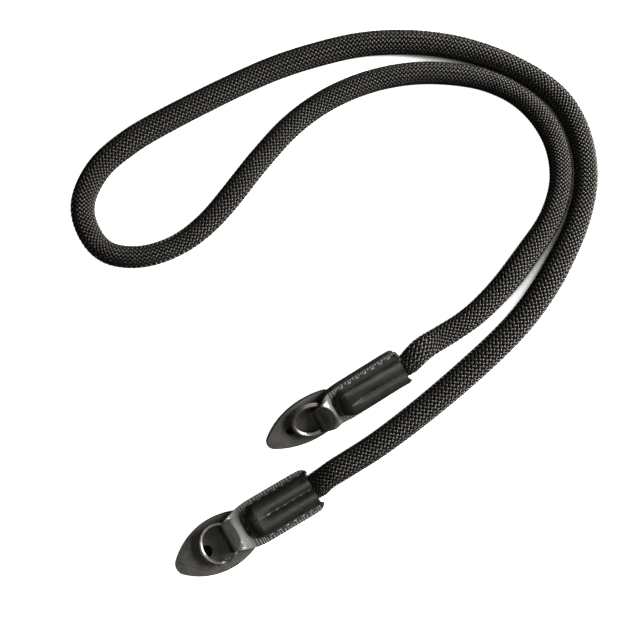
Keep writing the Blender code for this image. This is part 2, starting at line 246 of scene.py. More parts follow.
# %% Sizes of the leather end and its leaf
LEATHER = 1.1 * MM               # wall of the folded strip
GAP = 0.3 * MM                   # clearance wherever two pieces touch
NOSE = 40.8 * MM                 # front of the fold that holds the ring
NOSE_LENGTH = 3.4 * MM
NOSE_POWER = 2.5                 # 2 is an ellipse, more is squarer
STITCH_FRONT = 30.5 * MM         # front of the U of stitches round the rope end
STITCH_HALF = 7.2 * MM
STITCH_CORNER = 6.0 * MM
SHOULDER = 5.0 * MM              # width over which the hump rises from the U
SHOULDER_POWER = 2.3
SEAM_END = 24.0 * MM
SEAM_SAG, SEAM_REACH = 1.0 * MM, 3.2 * MM  # both lobes round off towards the seam
SEAM_CUT, SEAM_HALF = 1.2 * MM, 0.50 * MM  # and the thread pulls in a sharp groove
LEAF_MEETS = 29.5 * MM
RAMP_START = 30.5 * MM           # the strip climbs from here over the ring's wire
RIDGE_HALF = 0.9 * MM            # to this far from the middle of the wire
RIDGE_TOP = 6.6 * MM
RIDGE_REACH = 6.2 * MM           # its bend follows the wire this far to each side
FALL, FALL_RUN = 0.8 * MM, 5.0 * MM  # then it sinks again, over this length
STRIP_WIDTH = ((0, 9.1), (5, 9.35), (27, 9.35), (31.5, 8.7), (34.5, 7.6), (37.5, 6.4), (40.8, 5.6))
HUMP_CROWN = ((0, 5.2), (10, 4.7), (19, 4.3), (25, 3.8), (31, 2.4))

RING_RADIUS = 7.7 * MM           # middle of the ring's wire
Ring = namedtuple("Ring", "forward side tilt seam")
RINGS = {"a": Ring(41.2, -0.5, 6.5, 128.0), "b": Ring(43.3, -0.1, 6.5, 101.0)}

LEAF_THICK = 1.2 * MM
HOLE_FLOOR = 0.3 * MM                # the hole stops this far above the underside, and painted shade lies there
LEAF_LENGTH = 32.3 * MM
LEAF_HALF = 10.9 * MM
LEAF_WIDEST = 20.6 * MM
LEAF_ARCH = 27.9 * MM
LEAF_CORNER = 2.2 * MM
HOLE_RADIUS = 2.4 * MM

# %% The leaf's outline and the two frames
End = namedtuple("End", "name x y heading roll rope_side rope_down leaf_rear leaf_turn hole_from_tip")
END_A = End("a", 42.9, 39.5, 210.0, -46.0, -3.2, 2.8, 29.6, 3.7, 11.5)
END_B = End("b", 8.3, -9.7, 210.6, 0.0, -1.2, 0.0, 31.5, 0.0, 14.0)
ENDS = (END_A, END_B)


def arc(centre, radius, start, stop, steps):
    """Points on an arc, angles in degrees, both ends included."""
    turns = np.radians(np.linspace(start, stop, steps + 1))
    return [(centre[0] + radius * math.cos(t), centre[1] + radius * math.sin(t)) for t in turns]


def leaf_outline(inset=0.0, fine=3):
    """Leaf with its tip at x = 0 and its body towards -x, drawn inset from its edge."""
    drop = LEAF_ARCH - LEAF_HALF
    tip = (LEAF_ARCH ** 2 - LEAF_WIDEST ** 2 - drop ** 2) / (2.0 * (LEAF_ARCH - LEAF_WIDEST))
    tangent = math.degrees(math.atan2(drop, LEAF_WIDEST - tip))
    rear = -LEAF_LENGTH + LEAF_CORNER
    lean = math.degrees(math.asin((LEAF_WIDEST + rear) / (LEAF_ARCH - LEAF_CORNER)))
    corner_y = math.cos(math.radians(lean)) * (LEAF_ARCH - LEAF_CORNER) - drop
    left = arc((-tip, 0.0), tip - inset, 0.0, tangent, 5 * fine)
    left += arc((-LEAF_WIDEST, -drop), LEAF_ARCH - inset, tangent, 90.0 - lean, 12 * fine)[1:]
    left += arc((rear, corner_y), LEAF_CORNER - inset, 90.0 - lean, 180.0, 4 * fine)[1:]
    return left + [(x, -y) for x, y in reversed(left[1:])]


def leaf_place(end):
    """Place of the leaf in its end's frame: its rear edge lies under the fold."""
    turn = Matrix.Rotation(math.radians(end.leaf_turn), 4, "Z")
    rear = Matrix.Translation((end.leaf_rear * MM, 0.0, 0.0))
    return rear @ turn @ Matrix.Translation((LEAF_LENGTH, 0.0, 0.0))


def end_frame(end):
    """The rolled end is lifted until a long side of its leaf touches the table."""
    side = max((leaf_place(end) @ Vector((x, y, 0.0))).y for x, y in leaf_outline(fine=1))
    lift = side * math.sin(math.radians(-end.roll))
    return (
        Matrix.Translation((end.x * MM, end.y * MM, lift))
        @ Matrix.Rotation(math.radians(end.heading), 4, "Z")
        @ Matrix.Rotation(math.radians(end.roll), 4, "X")
    )


FRAMES = {end.name: end_frame(end) for end in ENDS}
print("end a is lifted %.1f mm off the table" % (FRAMES["a"].translation.z / MM))

# %% [markdown]
# ## The rope's line
#
# The rope is limp and lies where it falls: it leaves one leather end, makes a
# wide arch, doubles back round a small bight and returns beside itself to the
# other end. Its line is a smooth curve through a few dozen points. Where a cover
# presses it, the rope is flattened and widened, so the line also carries a half
# width, a half height and the direction that is up for the rope there.

# %% Route points and the rope's girth
ROPE_ROUTE = (                   # metres; the third number is the air under the rope
    (0.0568, 0.0484, 0.0045), (0.0714, 0.0581, 0.0022), (0.0839, 0.0705, 0.0007), (0.0942, 0.0842, 0.0),
    (0.1038, 0.0989, 0.0), (0.1081, 0.115, 0.0), (0.1053, 0.132, 0.0), (0.095, 0.1466, 0.0),
    (0.0798, 0.1557, 0.0), (0.0625, 0.1593, 0.0), (0.0455, 0.1593, 0.0), (0.0283, 0.1556, 0.0),
    (0.0123, 0.1484, 0.0), (-0.0016, 0.1381, 0.0), (-0.0135, 0.125, 0.0), (-0.0355, 0.098, 0.0),
    (-0.0494, 0.088, 0.0), (-0.0656, 0.0838, 0.0), (-0.0796, 0.0874, 0.0), (-0.088, 0.104, 0.0),
    (-0.0822, 0.1201, 0.0), (-0.0687, 0.1323, 0.0), (-0.0536, 0.1412, 0.0), (-0.0224, 0.1568, 0.0),
    (-0.0067, 0.1634, 0.0), (0.0103, 0.1686, 0.0), (0.0275, 0.1722, 0.0), (0.0455, 0.1729, 0.0),
    (0.0625, 0.171, 0.0), (0.0796, 0.1661, 0.0), (0.0956, 0.1582, 0.0), (0.1085, 0.147, 0.0),
    (0.116, 0.132, 0.0), (0.1181, 0.115, 0.0), (0.1147, 0.0981, 0.0), (0.1078, 0.0824, 0.0),
    (0.0992, 0.0678, 0.0), (0.0885, 0.0541, 0.0), (0.0632, 0.0305, 0.0), (0.0352, 0.0084, 0.0),
)
ROPE_GIRTH = (                   # millimetres from mouth a, diameter of the rope
    (0, 10.2), (30, 9.4), (62, 10.3), (86, 9.6), (105, 9.3), (127, 9.6),
    (148, 8.8), (170, 9.3), (250, 9.8), (285, 10.0), (315, 9.1), (340, 9.4),
    (400, 10.9), (450, 10.4), (520, 10.3), (545, 10.0), (573, 9.3), (600, 9.8),
    (628, 9.6), (650, 9.9), (672, 10.9), (720, 11.2), (770, 10.6), (795, 10.4),
)
PRESSED_ROPE = (                 # millimetres from a mouth, half width, half height
    (-12, 5.0, 5.0), (-6, 5.1, 4.5), (-2.5, 5.4, 3.5), (0, 5.0, 2.1), (26, 4.4, 1.4),
)
PRESS_RUN = 12.0 * MM
PRESS_FULL = 7.2 * MM
SIDE_RUN = 8.0 * MM
ROPE_INSIDE = 26.0 * MM          # how far it reaches into each cover


def rest_height(u):
    """Underside of the strip: its mouth is on the table, its nose on the leaf."""
    return (LEAF_THICK + GAP) * np.minimum(u / LEAF_MEETS, 1.0)


def pressed_centre(end, u):
    """Middle of the rope in and near a leather end, in the end's frame."""
    inside = max(u, 0.0)
    height = rest_height(inside) + LEATHER + GAP + from_table(PRESSED_ROPE, inside / MM, 2) * MM
    height = max(height, from_table(PRESSED_ROPE, u / MM, 2) * MM)
    aside = end.rope_side * MM * smoothstep(-u, 0.0, SIDE_RUN)
    return Vector((u, aside, height - end.rope_down * MM * (min(u, 0.0) / PRESS_RUN) ** 2))


def smooth_curve(knots, parts=24):
    """A centripetal Catmull-Rom curve through knots."""
    points = []
    padded = [2 * knots[0] - knots[1], *knots, 2 * knots[-1] - knots[-2]]
    for p0, p1, p2, p3 in zip(padded, padded[1:], padded[2:], padded[3:]):
        t1 = (p1 - p0).length ** 0.5
        t2 = t1 + (p2 - p1).length ** 0.5
        t3 = t2 + (p3 - p2).length ** 0.5
        for i in range(parts):
            t = t1 + (t2 - t1) * i / parts
            a1 = p0.lerp(p1, t / t1)
            a2 = p1.lerp(p2, (t - t1) / (t2 - t1))
            a3 = p2.lerp(p3, (t - t2) / (t3 - t2))
            b1, b2 = a1.lerp(a2, t / t2), a2.lerp(a3, (t - t1) / (t3 - t1))
            points.append(b1.lerp(b2, (t - t1) / (t2 - t1)))
    return points + [knots[-1]]


# %% From points to a line with a frame at every half millimetre
LINE_STEP = 0.5 * MM
LINE_SOFT = 2.5 * MM             # the line is softened over about this length


def along_of(points):
    return np.concatenate([[0.0], np.cumsum(np.linalg.norm(np.diff(points, axis=0), axis=1))])


def softened(values, width):
    """A running average whose ends stay where they are."""
    half = int(3 * width / LINE_STEP)
    weights = np.exp(-0.5 * (np.arange(-half, half + 1) * LINE_STEP / width) ** 2)
    weights /= weights.sum()
    before = 2 * values[0] - values[half:0:-1]
    after = 2 * values[-1] - values[-2:-half - 2:-1]
    padded = np.concatenate([before, values, after])
    return np.stack([np.convolve(padded[:, k], weights, "valid") for k in range(values.shape[1])], axis=1)


def rope_line():
    """Middle of the rope at every half millimetre, and the length from mouth a."""
    inner = np.arange(ROPE_INSIDE, -PRESS_RUN + 0.1 * MM, -LINE_STEP)
    near = {end.name: [FRAMES[end.name] @ pressed_centre(end, u) for u in inner] for end in ENDS}
    first, last = (0.5 * ROPE_GIRTH[i][1] * MM for i in (0, -1))
    gates = [
        FRAMES[end.name] @ pressed_centre(end, -PRESS_RUN) - Vector((0.0, 0.0, radius))
        for end, radius in ((END_A, first), (END_B, last))
    ]
    free = np.array(smooth_curve([gates[0], *(Vector(p) for p in ROPE_ROUTE), gates[1]]))
    travelled = (PRESS_RUN + along_of(free)) / MM
    free[:, 2] = np.maximum(free[:, 2], 0.0) + 0.5 * MM * from_table(ROPE_GIRTH, travelled)
    centre = np.concatenate([np.array(near["a"]), free, np.array(near["b"][::-1])])
    along = along_of(centre)
    even = np.linspace(0.0, along[-1], round(along[-1] / LINE_STEP) + 1)
    centre = np.stack([np.interp(even, along, centre[:, k]) for k in range(3)], axis=1)
    return softened(centre, LINE_SOFT), even - ROPE_INSIDE


def rope_shape(along, total):
    """Half width, half height, and how much the end's own frame rules, all along the rope."""
    radius = 0.5 * MM * from_table(ROPE_GIRTH, along / MM)
    wide, high, ruled = radius.copy(), radius.copy(), np.zeros_like(radius)
    for u in (-along, along - total):
        share = smoothstep(u, -PRESS_RUN, -PRESS_FULL)
        wide += share * (from_table(PRESSED_ROPE, u / MM, 1) * MM - wide)
        high += share * (from_table(PRESSED_ROPE, u / MM, 2) * MM - high)
        ruled = np.maximum(ruled, smoothstep(u, -2.0 * PRESS_RUN, -0.3 * PRESS_RUN))
    return wide, high, ruled


def unit(vectors):
    return vectors / np.linalg.norm(vectors, axis=1, keepdims=True)


rope_centre, rope_along = rope_line()
ROPE_FREE = rope_along[-1] - ROPE_INSIDE
rope_wide, rope_high, ruled = rope_shape(rope_along, ROPE_FREE)
rope_ahead = unit(np.gradient(rope_centre, axis=0))
near_a = rope_along < 0.5 * ROPE_FREE
end_up = np.where(near_a[:, None], np.array(FRAMES["a"].col[2][:3]), np.array(FRAMES["b"].col[2][:3]))
rope_up = ruled[:, None] * end_up + (1.0 - ruled[:, None]) * np.array((0.0, 0.0, 1.0))
rope_left = unit(np.cross(rope_up, rope_ahead))
rope_up = np.cross(rope_ahead, rope_left)
print("the rope is %.0f mm long, %.0f mm of it free" % ((rope_along[-1] + ROPE_INSIDE) / MM, ROPE_FREE / MM))

# %% [markdown]
# ## The rope's core
#
# Under the braid lies a bundle of straight fibres. Only a dark line of it shows
# in the crevices between the yarns, so a smooth tube a little thinner than the
# rope does the work. It takes the place of the rope's solid, which is hidden.

# %% Core tube
CORE_UNDER = 0.82 * MM           # how far the core lies under the crest of the braid
CORE_SIDES = 40
CORE_STEP = 1.5 * MM


def rope_at(values, along):
    """One of the rope's tracks read at any lengths from mouth a."""
    if values.ndim == 1:
        return np.interp(along, rope_along, values)
    return np.stack([np.interp(along, rope_along, values[:, k]) for k in range(3)], axis=-1)


def rope_surface(along, angle, under):
    """Points on the rope: angle 0 is its left side, a quarter turn is its top."""
    centre, left, up = (rope_at(track, along) for track in (rope_centre, rope_left, rope_up))
    wide, high = (rope_at(track, along) - under for track in (rope_wide, rope_high))
    return centre + (wide * np.cos(angle))[..., None] * left + (high * np.sin(angle))[..., None] * up


def make_piece(name, points, faces, material, smooth=True):
    """A mesh from arrays of points and faces, riding on the strap."""
    mesh = bpy.data.meshes.new(name)
    mesh.from_pydata(points, [], faces)
    mesh.polygons.foreach_set("use_smooth", [smooth] * len(mesh.polygons))
    mesh.materials.append(material)
    mesh.update()
    piece = bpy.data.objects.new(name, mesh)
    bpy.context.scene.collection.objects.link(piece)
    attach(piece, "root")
    return piece


def tube_faces(rings, sides, first=0):
    """Quads between rings of points, and a cap at each end."""
    faces = []
    for i in range(rings - 1):
        near, far = first + i * sides, first + (i + 1) * sides
        for j in range(sides):
            k = (j + 1) % sides
            faces.append((near + j, far + j, far + k, near + k))
    faces.append(tuple(range(first, first + sides)))
    faces.append(tuple(reversed(range(first + (rings - 1) * sides, first + rings * sides))))
    return faces


def core_finish():
    finish = Finish("rope core")
    place = finish.node("TexCoord").outputs["Object"]
    fibres = finish.node("TexNoise", {"Vector": place, "Scale": 2600.0, "Detail": 2.0}).outputs["Fac"]
    finish.set(
        Base_Color=finish.ramp(fibres, (0.3, (0.0008, 0.0006, 0.0005)), (0.8, (0.0020, 0.0017, 0.0014))),
        Roughness=0.9,
        Specular_IOR_Level=0.2,
        Normal=finish.bump(fibres, 0.0001),
    )
    return finish.material


def add_core():
    along = np.arange(rope_along[0], rope_along[-1], CORE_STEP)
    angle = np.radians(np.arange(CORE_SIDES) * 360.0 / CORE_SIDES)
    grid = rope_surface(*np.meshgrid(along, angle, indexing="ij"), CORE_UNDER)
    faces = tube_faces(len(along), CORE_SIDES)
    core = make_piece("rope_core", grid.reshape(-1, 3).tolist(), faces, core_finish())
    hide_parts("rope")
    return core


core = add_core()
print("core tube of", len(core.data.polygons), "faces")

# %% [markdown]
# ## The braid
#
# The cover is braided from 30 yarns: 15 wind to the right and 15 to the left,
# and each goes over one and under one of the others. What shows is a float, a
# short stretch of yarn that comes up, crosses one column and dives again. The
# floats stand in 30 columns along the rope. They lean one way in one column and
# the other way in the next, half a pitch further on. The pitch isn't the same all
# along the rope, so it is read from a short table.
#
# A float is a small grid with a flat crest, bent down at both ends. All the
# floats of one lean are computed as one array and become one mesh, which is far
# quicker than thousands of objects.

# %% Shape of one float, and where all of them lie
COLUMNS = 30
BRAID_PITCH = (                  # millimetres from mouth a, length from one float to the next
    (0, 2.10), (60, 2.00), (90, 1.70), (120, 1.45), (150, 1.60), (210, 1.66), (240, 1.75),
    (290, 1.93), (345, 1.85), (480, 1.76), (615, 1.70), (645, 1.93), (800, 1.90),
)
FLOAT_WIDE = 0.80 * MM
FLOAT_ROUND = 0.26 * MM          # how far its rim lies under its flat crest
FLOAT_WAVE = 0.44 * MM           # how far it swings in and out of the braid
FLOAT_REACH = 1.7                # it dives under its neighbour this many half lengths out
BRAID_INSIDE = 3.0 * MM          # the braid runs on this far into each cover
AT_LENGTH = np.array((-1.0, -0.5, 0.0, 0.5, 1.0)) * FLOAT_REACH
AT_WIDTH = np.array((-1.0, -0.72, 0.72, 1.0))
FLOAT_QUADS = (len(AT_LENGTH) - 1) * (len(AT_WIDTH) - 1)
LIFT, LIFT_SPREAD = 0.06 * MM, 0.006 * MM  # no two floats stand equally high
TUCK = 0.25 * MM                 # the braid sinks this much where it enters a cover


def braid_rows():
    """Lengths from mouth a at which a row of floats begins."""
    rows = [-BRAID_INSIDE]
    while rows[-1] < ROPE_FREE + BRAID_INSIDE:
        rows.append(rows[-1] + float(from_table(BRAID_PITCH, rows[-1] / MM)) * MM)
    return np.array(rows)


def braid_places(lean):
    """Length from mouth a, column angle, pitch and yarn number of every float of one lean."""
    starts = braid_rows()
    columns = np.arange(0 if lean > 0 else 1, COLUMNS, 2)
    row, column = np.meshgrid(np.arange(len(starts) - 1), columns, indexing="ij")
    row, column = row.ravel(), column.ravel()
    pitch = np.diff(starts)[row]
    yarn = np.mod(column - 2 * lean * row, COLUMNS)
    return starts[row] + 0.25 * lean * pitch, column * 2.0 * math.pi / COLUMNS, pitch, yarn


def braid_points(lean, along, angle, pitch, rng):
    """Rows of points for every float, over its length and its width."""
    t, q = (grid[None] for grid in np.meshgrid(AT_LENGTH, AT_WIDTH, indexing="ij"))
    along, angle, pitch = along[:, None, None], angle[:, None, None], pitch[:, None, None]
    radius = 0.5 * (rope_at(rope_wide, along) + rope_at(rope_high, along))
    column_wide = 2.0 * math.pi * radius / COLUMNS
    slant = np.arctan2(0.5 * column_wide, 0.25 * pitch)
    half = 0.5 * FLOAT_WIDE * (1.0 - 0.25 * (t / FLOAT_REACH) ** 2)
    lengthwise = along + t * 0.25 * pitch - lean * q * half * np.sin(slant)
    sideways = lean * t * 0.5 * column_wide + q * half * np.cos(slant)
    lift = rng.normal(LIFT, LIFT_SPREAD, along.shape)
    under = FLOAT_WAVE * (1.0 - np.cos(0.5 * math.pi * t)) + FLOAT_ROUND * np.abs(q) ** 5 - lift
    inside = np.maximum(-lengthwise, lengthwise - ROPE_FREE)
    under = under + TUCK * smoothstep(inside, -0.5 * MM, 1.5 * MM)
    return rope_surface(lengthwise, angle + sideways / radius, under)


# %% [markdown]
# ## The finish of the yarn
#
# Each yarn is a flat bundle of fine filaments, brown-black, with a soft sheen.
# The mesh carries a small chart for it: how far across and along the float a
# point lies, and a number for its yarn. The material draws fine filaments along
# the chart, and shifts the colour a little from yarn to yarn.
#
# It also darkens the ends of each float, where the neighbours shade it. This is
# painted shadow: it helps so small a weave to read, but it stays the same
# wherever the lamps stand.

# %% Yarn material
def yarn_finish():
    finish = Finish("braid yarn")
    chart = finish.node("Attribute", attribute_name="yarn_chart").outputs["Vector"]
    split = finish.node("SeparateXYZ", {"Vector": chart})
    drawn_out = finish.node("VectorMath", {0: chart, 1: (14.0, 0.9, 7.0)}, operation="MULTIPLY").outputs[0]
    filaments = finish.node("TexNoise", {"Vector": drawn_out, "Scale": 1.0, "Detail": 3.0}).outputs["Fac"]
    tone = finish.node("TexWhiteNoise", {"W": split.outputs["Z"]}, noise_dimensions="1D").outputs["Value"]
    mixed = finish.maths("MULTIPLY_ADD", tone, 0.45, finish.maths("MULTIPLY", filaments, 0.6))
    colour = finish.ramp(mixed, (0.15, (0.009, 0.008, 0.0062)), (0.85, (0.027, 0.0245, 0.0200)))
    dive = finish.maths("MULTIPLY", finish.maths("ABSOLUTE", split.outputs["Y"]), 0.5)
    shade = finish.ramp(dive, (0.36, grey(1.0)), (0.75, grey(0.10)))
    finish.set(
        Base_Color=finish.node("VectorMath", {0: colour, 1: shade}, operation="MULTIPLY").outputs[0],
        Roughness=finish.maths("MULTIPLY_ADD", filaments, 0.15, 0.30),
        Specular_IOR_Level=0.4,
        Normal=finish.bump(filaments, 0.00004, 0.6),
    )
    return finish.material


def add_braid(name, lean, material, seed):
    along, angle, pitch, yarn = braid_places(lean)
    points = braid_points(lean, along, angle, pitch, np.random.default_rng(seed))
    rows, across = len(AT_LENGTH), len(AT_WIDTH)
    first = np.arange(len(along))[:, None] * rows * across
    corner = np.array([r * across + c for r in range(rows - 1) for c in range(across - 1)])[None]
    start = first + corner
    quads = np.stack([start + 1, start + across + 1, start + across, start], axis=-1)
    piece = make_piece(name, points.reshape(-1, 3), quads.reshape(-1, 4).tolist(), material)
    chart = np.zeros((len(along), rows, across, 3), np.float32)
    chart[..., 0] = AT_WIDTH[None, None, :]
    chart[..., 1] = AT_LENGTH[None, :, None]
    chart[..., 2] = yarn[:, None, None] + COLUMNS * (lean > 0)
    stored = piece.data.attributes.new("yarn_chart", "FLOAT_VECTOR", "POINT")
    stored.data.foreach_set("vector", chart.ravel())
    return piece


yarn_material = yarn_finish()
braid = [
    add_braid("braid_yarns_right", 1, yarn_material, seed=5),
    add_braid("braid_yarns_left", -1, yarn_material, seed=6),
]
for half_braid in braid:
    print(half_braid.name, len(half_braid.data.polygons) // FLOAT_QUADS, "floats")

# %% [markdown]
# ## The leather ends
#
# A leather end is one strip. It is laid over the flattened rope end, sewn down
# along both sides and round the front, folded round the ring and brought back
# underneath. Wet moulding leaves a hump with a sunken seam along its middle, and
# the thread pulls the thin flange beside the hump into fine ribs.
#
# The strip is a grid of rows from the mouth over the top, round the nose and
# back under, with the wall added by a Solidify modifier and the cut edges
# rounded by a Bevel. The ribs and the seam are in the grid itself, so they show
# from every side.

# %% Relief of the strip
ROW_STEP = 0.15 * MM
ACROSS = 96
RIB_PITCH = 1.18 * MM
RIB_DEEP = 0.20 * MM
THREAD_SUNK = 0.50 * MM          # depth of the channel that the stitches lie in
THREAD_CHANNEL = 0.60 * MM
MOUTH_CORNER = 2.2 * MM


def inside_stitches(u, v):
    """Distance inward from the U of stitches, below zero outside it."""
    across = np.abs(v) - (STITCH_HALF - STITCH_CORNER)
    ahead = u - (STITCH_FRONT - STITCH_CORNER)
    corner = np.hypot(np.maximum(across, 0.0), np.maximum(ahead, 0.0))
    return STITCH_CORNER - corner - np.minimum(np.maximum(across, ahead), 0.0)


def strip_half(u):
    """Half width of the strip, its corners softened and the mouth's corners rounded."""
    shifts = np.linspace(-1.5, 1.5, 7)
    half = np.mean([from_table(STRIP_WIDTH, u / MM + shift) for shift in shifts], axis=0) * MM
    short = np.maximum(MOUTH_CORNER - u, 0.0)
    return half - MOUTH_CORNER + np.sqrt(np.maximum(MOUTH_CORNER ** 2 - short ** 2, 0.0))


def hump(u, v):
    """Height of the moulded hump over the flange, with its sunken seam."""
    inside = np.clip(inside_stitches(u, v) / SHOULDER, 0.0, 1.0)
    shoulder = (1.0 - (1.0 - inside) ** SHOULDER_POWER) ** (1.0 / SHOULDER_POWER)
    aside = np.abs(v)
    seam = SEAM_SAG * np.maximum(1.0 - aside / SEAM_REACH, 0.0) ** 1.7
    seam = seam + SEAM_CUT * np.exp(-(aside / SEAM_HALF) ** 1.5)
    seam = seam * (1.0 - smoothstep(u, SEAM_END - 6.0 * MM, SEAM_END + 1.5 * MM))
    return np.maximum(shoulder * (from_table(HUMP_CROWN, u / MM) * MM - seam), 0.0)


def ribs(u, v):
    """Fine ribs across the flange, pulled in by each stitch."""
    wander = 0.25 * np.sin(u / (2.3 * MM)) + 0.2 * np.sin(u / (0.9 * MM) + 2.0)
    wave = (0.5 + 0.5 * np.cos(2.0 * math.pi * (u / RIB_PITCH + wander))) ** 2
    outside = -inside_stitches(u, v)
    flange = smoothstep(outside, 0.1 * MM, 0.5 * MM) * (1.0 - smoothstep(u, 29.5 * MM, 32.0 * MM))
    return -RIB_DEEP * wave * flange


def channel(u, v):
    """The groove that the thread pulls round the foot of the hump."""
    near = inside_stitches(u, v) / THREAD_CHANNEL
    return -THREAD_SUNK * np.exp(-near ** 2) * (1.0 - smoothstep(u, 31.5 * MM, 33.0 * MM))


def upper_face(u, v, ring):
    """Top of the upper layer, which climbs over the ring's round wire and sinks again."""
    aside = np.minimum(np.abs(v - ring.side * MM), RIDGE_REACH)
    wire = ring.forward * MM - np.sqrt(RING_RADIUS ** 2 - aside ** 2)
    flange = rest_height(u) + 2.0 * LEATHER + GAP + hump(u, v)
    share = smoothstep(u, RAMP_START, wire - RIDGE_HALF)
    fall = FALL * smoothstep(u, wire + RIDGE_HALF, wire + RIDGE_HALF + FALL_RUN)
    return flange + share * (RIDGE_TOP - fall - flange) + (ribs(u, v) + channel(u, v)) * (1.0 - share)


# %% Rows of the strip
def squared(value):
    """A sine or cosine pushed outward, which makes an ellipse squarer."""
    return math.copysign(abs(value) ** (2.0 / NOSE_POWER), value)


def strip_grid(ring):
    """Points of the strip's outer face, row by row, in the end's frame."""
    share = np.linspace(-1.0, 1.0, ACROSS + 1)
    rows = []
    nose_start = NOSE - NOSE_LENGTH
    for u in np.arange(0.0, nose_start, ROW_STEP):
        v = share * strip_half(u)
        rows.append(np.stack([np.full_like(v, u), v, upper_face(u, v, ring)], axis=1))
    low = rest_height(NOSE)
    for angle in np.radians(np.linspace(90.0, -90.0, 33)):
        u = nose_start + NOSE_LENGTH * squared(math.cos(angle))
        v = share * strip_half(u)
        height = low + (0.5 + 0.5 * squared(math.sin(angle))) * (upper_face(nose_start, v, ring) - low)
        rows.append(np.stack([np.full_like(v, u), v, height], axis=1))
    for u in np.arange(nose_start - 1.0 * MM, -0.1 * MM, -1.0 * MM):
        v = share * strip_half(max(u, 0.0))
        rows.append(np.stack([np.full_like(v, u), v, np.full_like(v, rest_height(u))], axis=1))
    return np.array(rows)


# %% [markdown]
# ## The finish of the black leather
#
# Moulded black leather is satin, almost smooth, with a fine grain that shows
# only where light grazes it. A cell pattern makes the grain, and a softer noise
# makes the colour and the gloss uneven.
#
# Two charts on the mesh steer it from place to place, as numbers from 0 to 1.
# One chart makes the leather paler and duller outside the stitches as far as
# the ring: it is pulled paler over the ring, and on the flat flange the paler
# colour is a painted sheen. The other chart paints shade, darker and duller,
# into the seam and the channel under the stitches, and darkens the cut edges.

# %% Black leather material
def leather_finish(name, dark, light, palest, grain_size, grain_deep, rough):
    finish = Finish(name)
    place = finish.node("TexCoord").outputs["Object"]
    warp = finish.node("TexNoise", {"Vector": place, "Scale": 0.6 / grain_size, "Detail": 2.0})
    shift = {0: warp.outputs["Color"], 1: (grain_size * 0.8,) * 3, 2: place}
    moved = finish.node("VectorMath", shift, operation="MULTIPLY_ADD")
    cells = finish.node(
        "TexVoronoi", {"Vector": moved.outputs[0], "Scale": 1.0 / grain_size}, feature="DISTANCE_TO_EDGE"
    ).outputs["Distance"]
    pebble = finish.ramp(cells, (0.0, grey(0.0)), (0.35, grey(1.0)))
    patchy = {"Vector": place, "Scale": 220.0, "Detail": 4.0, "Roughness": 0.6}
    cloud = finish.node("TexNoise", patchy).outputs["Fac"]
    fine = finish.node("TexNoise", {"Vector": place, "Scale": 3500.0, "Detail": 2.0}).outputs["Fac"]
    patch = finish.maths("MULTIPLY", cloud, finish.maths("MULTIPLY_ADD", pebble, 0.35, 0.75))
    stretch_and_painted_sheen = finish.node("Attribute", attribute_name="stretch_and_painted_sheen").outputs["Fac"]
    painted_shade_and_dark_edge = finish.node("Attribute", attribute_name="painted_shade_and_dark_edge").outputs["Fac"]
    # paler where pulled over the ring, and a painted sheen on the flat flange
    tone = finish.maths("MULTIPLY_ADD", patch, 0.5, finish.maths("MULTIPLY", stretch_and_painted_sheen, 0.5))
    # painted shade: darker in the seam and the stitch channel, and the cut edges darker too
    tone = finish.maths("SUBTRACT", tone, painted_shade_and_dark_edge)
    dull = finish.maths("MULTIPLY_ADD", painted_shade_and_dark_edge, 0.6, finish.maths("MULTIPLY", stretch_and_painted_sheen, 0.40))
    gloss = finish.maths("MULTIPLY_ADD", cloud, 0.2, dull)
    finish.set(
        Base_Color=finish.ramp(tone, (0.0, grey(0.002)), (0.12, dark), (0.38, light), (0.85, palest)),
        Roughness=finish.maths("ADD", gloss, rough - 0.1),
        Specular_IOR_Level=0.9,
        Normal=finish.bump(fine, 0.00004, 0.5, finish.bump(pebble, grain_deep, 0.8)),
    )
    return finish.material


hide = leather_finish(
    "black leather",
    dark=(0.007, 0.007, 0.0062),
    light=(0.020, 0.020, 0.0172),
    palest=(0.034, 0.034, 0.030),
    grain_size=0.45 * MM,
    grain_deep=0.05 * MM,
    rough=0.30,
)
print("leather made of", len(hide.node_tree.nodes), "nodes")


# %% Build both leather ends
def leather_charts(grid, ring):
    """Where the strip is paler, from stretch and from painted sheen, and where shade is painted in and the
    edges are darker: 0 to 1 at every point.
    """
    u, v = grid[..., 0], grid[..., 1]
    aside = np.abs(v)
    inside = inside_stitches(u, v)
    ridge = ring.forward * MM - RING_RADIUS - RIDGE_HALF
    # paler outside the stitches up to the ridge: stretch over the ring, and painted sheen on the flat flange
    pale = smoothstep(-inside, 0.2 * MM, 0.8 * MM)
    pale = pale * (1.0 - smoothstep(u, ridge - 0.8 * MM, ridge + 0.2 * MM))
    # the cut edges are made darker
    edge = 1.0 - smoothstep(aside.max(axis=1, keepdims=True) - aside, 0.10 * MM, 0.40 * MM)
    # painted shade in the seam groove and in the channel of the stitches
    seam = 1.0 - smoothstep(aside, 0.35 * MM, 0.65 * MM)
    seam = seam * (1.0 - smoothstep(u, SEAM_END, SEAM_END + 1.2 * MM))
    thread = np.exp(-(inside / (0.42 * MM)) ** 2) * (u < STITCH_FRONT + 1.0 * MM)
    return {"stretch_and_painted_sheen": pale * (1.0 - edge), "painted_shade_and_dark_edge": np.clip(0.7 * edge + seam + thread, 0.0, 1.0)}


